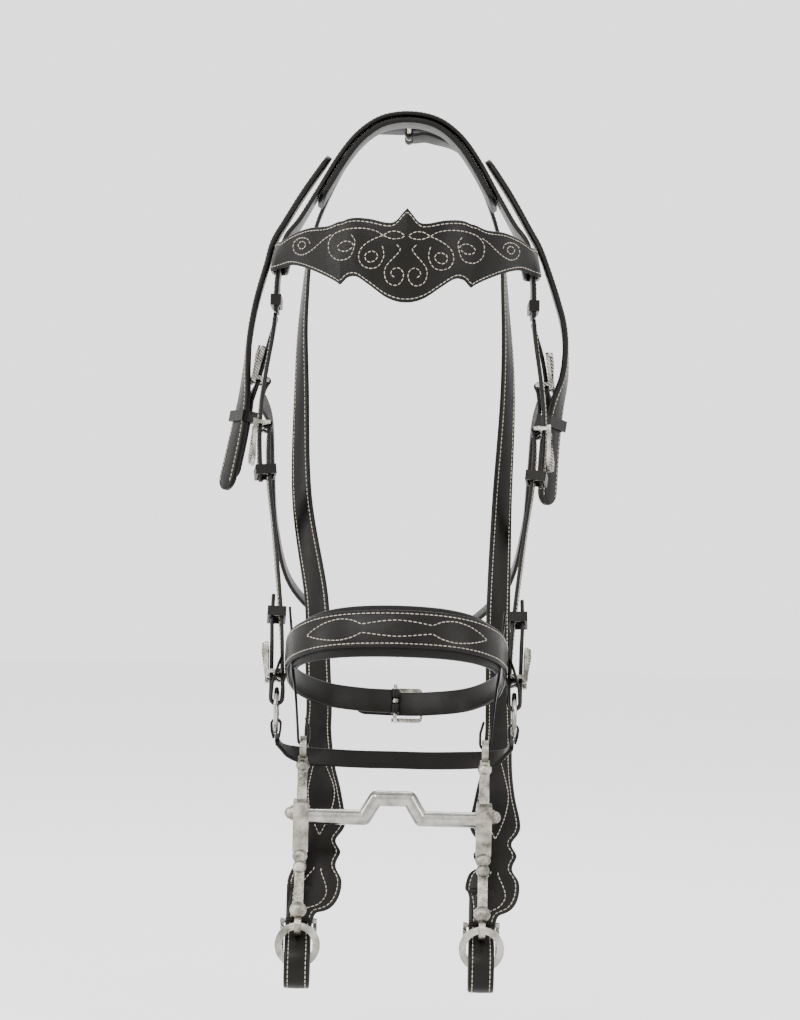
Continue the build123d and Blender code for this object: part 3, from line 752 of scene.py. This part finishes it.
near_top = [(*station(join_place, -2.8, -HOLDER_DROP), 10), (*station(join_place, -20, -HOLDER_DROP), 10)]
off_top = [(*station(join_place, x, 0), 10) for x in (-32, -12, 8, 24)]
off_top.append((*station(join_place, 36, -1), 10))
rein_plans = (
    ("near", SHANK_X, (81, 84, 84, 86), near_top),
    ("off", -SHANK_X, (-57, -62, -68, -83), off_top),
)


# --- Leather pieces --------------------------------------------------------------------------------------

SIDES = (("near", 1), ("off", -1))
headstall_thread = Stitching()
rein_thread = Stitching()


def on_side(rows, side):
    """The rows as they are on the near side, or mirrored on the off side."""
    return rows if side > 0 else mirrored(rows)


# Crownpiece and its padding
crown = Strap(crown_rows, CROWN_THICK, CROWN_WIDTH / 2)
finish_strap(strap_object("crownpiece_leather", crown), "headstall", "crownpiece")
headstall_thread.rows(crown)
middle = len(crown_side) - 1
padding_lift = -(CROWN_THICK + POLL_PADDING_THICK) / 2 - GAP
poll = Strap(crown_rows[middle - 32 : middle + 33], POLL_PADDING_THICK, CROWN_WIDTH / 2 + 3, padding_lift)
poll_pad = strap_object("poll_pad", poll, (), 1.6, SOFT)
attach(poll_pad, "headstall")
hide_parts("crown_padding")

# Crown straps, throat billets
for name, rows in (("near", strap_near), ("off", strap_off)):
    strap = Strap(rows, CROWN_STRAP_THICK, CROWN_STRAP_WIDTH / 2, round_tips=(True, True))
    finish_strap(strap_object("crown_strap_leather_" + name, strap), "headstall", "crown_strap_" + name)
    headstall_thread.rows(strap, start=7, stop=7)
for name, rows in (("near", throat_near), ("off", throat_off)):
    strap = Strap(rows, BILLET_THICK, BILLET_WIDTH / 2, round_tips=(False, True))
    finish_strap(strap_object("throat_billet_leather_" + name, strap), "headstall", "throat_billet_" + name)

# Cheek billets, cheekpieces, tabs, bit straps and chin loops, alike on both sides
for name, side in SIDES:
    billet = Strap(on_side(cheek_billet, side), BILLET_THICK, BILLET_WIDTH / 2, round_tips=(False, True))
    finish_strap(strap_object("cheek_billet_leather_" + name, billet), "headstall", "cheek_billet_" + name)
    headstall_thread.rows(billet, NARROW_MARGIN, stop=8)
    cheek = [*cheek_rows, *turn[1:], *turned_back]
    cheek = Strap(on_side(cheek, side), CHEEK_THICK, CHEEK_WIDTH / 2, round_tips=(False, True))
    made = strap_object("cheekpiece_leather_" + name, cheek, (NARROW_MARGIN,))
    finish_strap(made, "headstall", "cheekpiece_" + name)
    headstall_thread.rows(cheek, NARROW_MARGIN, start=4, stop=104)
    outer = Strap(on_side(outward_billet, side), CHEEK_THICK, CHEEK_WIDTH / 2)
    headstall_thread.rows(outer, NARROW_MARGIN, start=2, stop=7)
    tab = Strap(on_side(tab_rows, side), TAB_THICK, TAB_HALF_WIDTH)
    finish_strap(strap_object("ring_tab_leather_" + name, tab, (), 0.1), "headstall", "ring_tab_" + name)
    bit_strap = Strap(on_side(bit_rows, side), BIT_STRAP_THICK, BIT_STRAP_HALF_WIDTH)
    made = strap_object("bit_strap_leather_" + name, bit_strap, (), 0.1)
    finish_strap(made, "headstall", "bit_strap_" + name)
    loop = Strap(on_side(chin_loop, side), TAB_THICK, CHIN_LOOP_HALF_WIDTH)
    finish_strap(strap_object("chin_loop_leather_" + name, loop, (), 0.1), "headstall", "chin_loop_" + name)

# Throatlatch and chin strap
latch = Strap(throat_loop, THROAT_THICK, THROAT_WIDTH / 2)
finish_strap(strap_object("throatlatch_leather", latch, (NARROW_MARGIN,)), "headstall", "throatlatch")
headstall_thread.rows(latch, NARROW_MARGIN)
chin = Strap(chin_rows, CHIN_THICK, CHIN_WIDTH / 2)
finish_strap(strap_object("chin_strap_leather", chin, (NARROW_MARGIN,)), "headstall", "chin_strap")
headstall_thread.rows(chin, NARROW_MARGIN)

# Jaw strap
inner_jaw = Strap(plan_rows(through([*jaw_off, (-2.6, 186.4)], 8)[::-1]), JAW_THICK, JAW_WIDTH / 2)
finish_strap(strap_object("jaw_strap_leather", inner_jaw), "headstall", "jaw_strap")
headstall_thread.rows(inner_jaw)
outer_jaw = Strap(plan_rows(through(jaw_outer, 8)), BILLET_THICK, JAW_WIDTH / 2, round_tips=(False, True))
finish_strap(strap_object("jaw_billet_leather", outer_jaw), "headstall", "jaw_billet")
headstall_thread.rows(outer_jaw, stop=8)


def leather_fold(name, place, width, body):
    """The end of a strap folded round a buckle's bar, in two halves with the tongue between them."""
    origin, along, side, face = place
    bar = origin - face * BAR_DROP
    half = (width - 4.8) / 4
    for label, offset in (("a", 1), ("b", -1)):
        rows = []
        for step in range(13):
            angle = radians(-90 + 360 * step / 12)
            out = along * cos(angle) + face * sin(angle)
            rows.append((*(bar + side * offset * (half + 2.4) + out * 2.9), *out))
        fold = strap_object(name + "_" + label, Strap(rows, 1.7, half), (), 0.05)
        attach(fold, body)


def other_side(place):
    """A buckle's place on the off side."""
    flip = Vector((-1, 1, 1))
    origin, along, side, face = (part * flip for part in place)
    return origin, along, side, face


leather_fold("cheek_fold_near", cheek_place, BILLET_WIDTH, "headstall")
leather_fold("cheek_fold_off", other_side(cheek_place), BILLET_WIDTH, "headstall")
leather_fold("ring_fold_near", ring_place, CHEEK_WIDTH, "headstall")
leather_fold("ring_fold_off", other_side(ring_place), CHEEK_WIDTH, "headstall")
leather_fold("throat_fold_near", near_place, THROAT_WIDTH, "headstall")
leather_fold("throat_fold_off", off_place, THROAT_WIDTH, "headstall")
leather_fold("jaw_fold", jaw_place, JAW_WIDTH, "headstall")

# Browband
BROW_LEVEL = -115
BROW_LEAN = 0.2
BROW_FRONT = [
    (0, -130, 35, 40),
    (4, -129.9, 30.5, 39.8),
    (8, -129.8, 25.5, 39),
    (12, -129.4, 23.3, 37.6),
    (18, -128.6, 23.5, 34.5),
    (29, -126.3, 26, 26.5),
    (39, -123, 27, 20),
    (46, -119.6, 26.5, 20.5),
    (50, -117.3, 25, 24),
    (52.3, -115.9, 24.5, 26),
    (55, -114, 24, 24),
    (64, -107, 21, 19),
    (78, -93, 20.5, 12.5),
    (91, -76, 17, 8.5),
    (100.6, -63, 12, 10),
    (105.6, -55, 12, 12),
    (107.4, -46, 12, 12),
    (107.6, -10, 12, 12),
]
brow_half = []
for i, (x, y, high, low) in enumerate(BROW_FRONT):
    ahead = BROW_FRONT[min(i + 1, len(BROW_FRONT) - 1)]
    behind = BROW_FRONT[i - 1] if i else (-BROW_FRONT[1][0], BROW_FRONT[1][1])
    outward = Vector((ahead[1] - behind[1], behind[0] - ahead[0], 0)).normalized()
    brow_half.append((x, y, BROW_LEVEL, outward.x, outward.y, BROW_LEAN if x > 102 else 0, high, low))
brow_turn = arc_rows(Vector((101.9, -7, BROW_LEVEL)), 5.7, 0, 180, 10, level, 1)
brow_turn = [(*row[:5], BROW_LEAN * row[3], 12, 12) for row in brow_turn]
brow_return = [*brow_turn[1:], (96.6, -42, BROW_LEVEL, -1, 0, -BROW_LEAN, 12, 12)]
brow_side = through(brow_half, 8)
reach = 6
for i, row in enumerate(brow_side):
    if row[0] < 100:
        ahead = brow_side[i + reach]
        behind = brow_side[i - reach] if i >= reach else mirrored(brow_side[reach - i :])[0]
        row[3:5] = Vector((ahead[1] - behind[1], behind[0] - ahead[0])).normalized()
brow_side += brow_return
brow_rows = mirrored(brow_side)[:0:-1] + brow_side
brow = Strap(brow_rows, BROWBAND_THICK)
finish_strap(strap_object("browband_leather", brow, (BROW_MARGIN,), 0.5), "headstall", "browband")
lining_rows = [(*row[:6], row[6] - 2, row[7] - 2) for row in brow_rows if row[1] < -62]
lining_lift = -(BROWBAND_THICK + LINING_THICK) / 2 - 0.1
lining = strap_object("browband_flesh", Strap(lining_rows, LINING_THICK, None, lining_lift), (), 0.1, FLESH)
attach(lining, "headstall")
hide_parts("browband_lining")

# Stitching on the browband: a line inside both edges, short of the ends' loops, then the scrolls
LOOP_LENGTH = 34
headstall_thread.rows(brow, BROW_MARGIN, start=LOOP_LENGTH, stop=LOOP_LENGTH)


def brow_across(x):
    """The distance along the browband of a place this far out from the middle of the head."""
    front = [station for station in brow.stations if station[1].y < -45]
    for a, b in zip(front, front[1:]):
        if min(a[1].x, b[1].x) <= x <= max(a[1].x, b[1].x):
            return a[0] + (b[0] - a[0]) * (x - a[1].x) / (b[1].x - a[1].x)


# Each scroll is (distance out from the middle, height over the browband's level)
SCROLLS = (
    [(1.5, 13), (4, 11), (9, 10.2), (13, 10.6), (18.5, 13), (23.5, 16), (31, 18), (39.5, 18.5), (49, 17.4),
     (57, 14), (61, 7.5), (60, -1), (54.5, -6), (48, -6.3), (43.5, -3.5), (41, 3), (40.5, 9), (43.5, 13.7)],
    [(41, 4.4), (43.5, 7.5), (49, 8), (53.5, 4.7), (52, 1), (46.5, 0.6), (42, 3.4)],
    [(1.5, 13), (5.5, 15.5), (10, 16.2), (14, 15.5), (19, 12.7), (25.5, 10), (32, 6), (36, 1.2), (37, -5.3),
     (34, -11), (27.5, -13.4), (21.5, -11.4), (17.8, -5), (17.8, 0.5), (19, 5)],
    [(22, -4), (24, -0.7), (28, 0), (31.7, -2.3), (31.7, -6), (29, -8.2), (24.7, -7.3), (22, -4)],
    [(59, 14), (65, 10.2), (70.5, 5.5), (76.5, 1.2), (82.5, -1), (88, 1.2), (90, 6), (89, 10), (85, 12.6),
     (80.5, 12.4), (77.5, 10.6), (76, 7)],
    [(79.5, 7), (81, 9.3), (84, 9.6), (85.7, 7), (84, 4.2), (81, 4.4), (79.5, 7)],
    [(8, 6), (6, 3.7), (5, 1.2), (8.5, -3.4), (13, -8.2), (16, -12.8), (16.5, -18.3), (14.5, -23.7),
     (9.5, -26.5), (5, -25.3), (2, -20.6), (2.5, -15.6), (6, -12.8), (10, -14), (11.5, -17.6), (8.5, -20.4)],
)
for _, side in SIDES:
    for scroll in SCROLLS:
        outline = [(brow_across(side * x), across) for x, across in through(scroll, 5)]
        headstall_thread.drawn(brow, outline, -0.1)

# Nosepiece: a stitched panel on a padded roll
nose_plan = [(0, 0), (35, 4), (60, 16), (76.5, 36), (83.8, 58), (85.6, 78)]
nose_full = through([(-x, depth) for x, depth in nose_plan[:0:-1]] + nose_plan, 12)
nose = Strap(narrowing(plan_rows(nose_full), 30, 22), NOSE_PANEL_THICK)
finish_strap(strap_object("nosepiece_leather", nose), "headstall", "nosepiece")
headstall_thread.rows(nose)
roll_rows = narrowing(plan_rows([pair for pair in nose_full if pair[1] < 60]), 41, 29)
roll_lift = -(NOSE_PANEL_THICK + NOSE_PADDING_THICK) / 2 - GAP
roll = strap_object("nosepiece_roll", Strap(roll_rows, NOSE_ROLL_THICK, None, roll_lift), (), 2.6, SOFT)
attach(roll, "headstall")
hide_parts("nosepiece_padding")
nose_middle = nose.length / 2
for side in (1, -1):
    for half in (1, -1):
        for motif in (
            [(0, 6.6), (10, 5.8), (20, 4.4), (27, 3.4)],
            [(27, 3.4), (35, 7), (45, 8.4), (56, 6.8), (66, 3.6), (74, 0)],
        ):
            line = [(nose_middle + side * place, half * across) for place, across in through(motif, 4)]
            headstall_thread.drawn(nose, line, -0.1)

# --- Reins -----------------------------------------------------------------------------------------------

# A leaf's stitched motif: the share of its length, then of its half width
LEAF_MOTIF = ((0, 0.25), (0.08, 0.3), (0.25, 0.62), (0.5, 1), (0.72, 0.8), (0.9, 0.35), (1, 0))
# The two reins, each with its edge lines, leaves and the fold that holds it to the next
for name, ring_x, columns, top in rein_plans:
    rows = rein_rows(ring_x, columns, top)
    rein = Strap(rows, REIN_THICK)
    finish_strap(strap_object("rein_leather_" + name, rein, (REIN_MARGIN,)), "reins", "rein_" + name)
    rein_thread.rows(rein, REIN_MARGIN, start=8, stop=14)
    heights = [(station[0], station[1].z) for station in rein.stations if station[1].y > -178.5]
    for top_z, low_z, reach in ((-515, -577, 10.5), (-599, -633, 11)):
        leaf = [place for place, z in heights if low_z < z < top_z and place < rein.length - 90]
        start, stop = min(leaf), max(leaf)
        for half in (1, -1):
            vein = [(start + (stop - start) * t, half * reach * wide) for t, wide in LEAF_MOTIF]
            rein_thread.drawn(rein, through(vein, 4), -0.1)
    leather_fold("rein_fold_" + name, place_on(rows[-50:], -642), REIN_WIDTH, "reins")
leather_fold("join_fold", join_place, REIN_WIDTH, "reins")

headstall_thread.make("stitching", "headstall")
rein_thread.make("rein_stitching", "reins")

# --- Metal and keepers -----------------------------------------------------------------------------------


def dress(node, material, width=0.5, segments=3):
    """Gives a CAD piece its finish and soft edges."""
    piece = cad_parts[node]
    piece.data.materials.clear()
    piece.data.materials.append(material)
    edges = piece.modifiers.new("edges", "BEVEL")
    edges.width = width * MM
    edges.segments = segments
    edges.limit_method = "ANGLE"
    edges.angle_limit = radians(35)
    piece.data.polygons.foreach_set("use_smooth", [True] * len(piece.data.polygons))


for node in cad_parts:
    if "buckle" in node:
        dress(node, NICKEL, 0.9, 4)
    elif "tongue" in node:
        dress(node, NICKEL, 0.7)
    elif "ring" in node and "tab" not in node:
        dress(node, PLAIN, 1.35, 6)
    elif node.startswith(("shank", "bit_bosses")):
        dress(node, CAST, 0.9, 4)
    elif node == "mouthpiece":
        dress(node, POLISHED, 0.3)
    elif node.startswith("keepers"):
        dress(node, LEATHER, 0.6)

# --- Floor, light and camera -----------------------------------------------------------------------------
backdrop = bpy.data.materials.new("backdrop")
backdrop.use_nodes = True
backdrop.node_tree.nodes["Principled BSDF"].inputs["Base Color"].default_value = (0.95, 0.95, 0.95, 1)
backdrop.node_tree.nodes["Principled BSDF"].inputs["Roughness"].default_value = 0.9
FLOOR_LEVEL = -740
FLOOR_RADIUS = 6000
rim = []
for step in range(72):
    turn = radians(5 * step)
    rim.append(Vector((FLOOR_RADIUS * cos(turn), FLOOR_RADIUS * sin(turn), FLOOR_LEVEL)))
floor = make_object("floor", rim, [tuple(range(72))], backdrop, False)

world = bpy.data.worlds.new("studio")
world.use_nodes = True
world.node_tree.nodes["Background"].inputs["Color"].default_value = (1, 1, 1, 1)
world.node_tree.nodes["Background"].inputs["Strength"].default_value = 2.1
bpy.context.scene.world = world

TARGET = Vector((0, -60, -330)) * MM


def softbox(name, place, width, height, power):
    """A soft light aimed at the bridle."""
    lamp = bpy.data.lights.new(name, "AREA")
    lamp.shape = "RECTANGLE"
    lamp.size = width
    lamp.size_y = height
    lamp.energy = power
    made = bpy.data.objects.new(name, lamp)
    made.location = place
    made.rotation_euler = (TARGET - Vector(place)).to_track_quat("-Z", "Y").to_euler()
    bpy.context.scene.collection.objects.link(made)


softbox("key", (-0.8, -1.7, 1.2), 0.9, 0.9, 34)
softbox("fill", (1.5, -1.5, 0.4), 0.35, 1.5, 20)
softbox("left_side", (-1.5, -0.6, -0.2), 0.3, 1.6, 20)
softbox("back", (0.3, 1.2, 1.5), 1.0, 0.6, 14)

lens = bpy.data.cameras.new("camera")
lens.lens = 114.7
lens.sensor_width = 36
lens.dof.use_dof = False
camera = bpy.data.objects.new("camera", lens)
upright_view = Matrix.Rotation(radians(90), 4, "X")
camera_roll = Matrix.Rotation(radians(1.4), 4, "Z")
camera.matrix_world = Matrix.Translation((0, -2.7, -0.319)) @ upright_view @ camera_roll
bpy.context.scene.collection.objects.link(camera)
bpy.context.scene.camera = camera

bpy.context.view_layer.update()
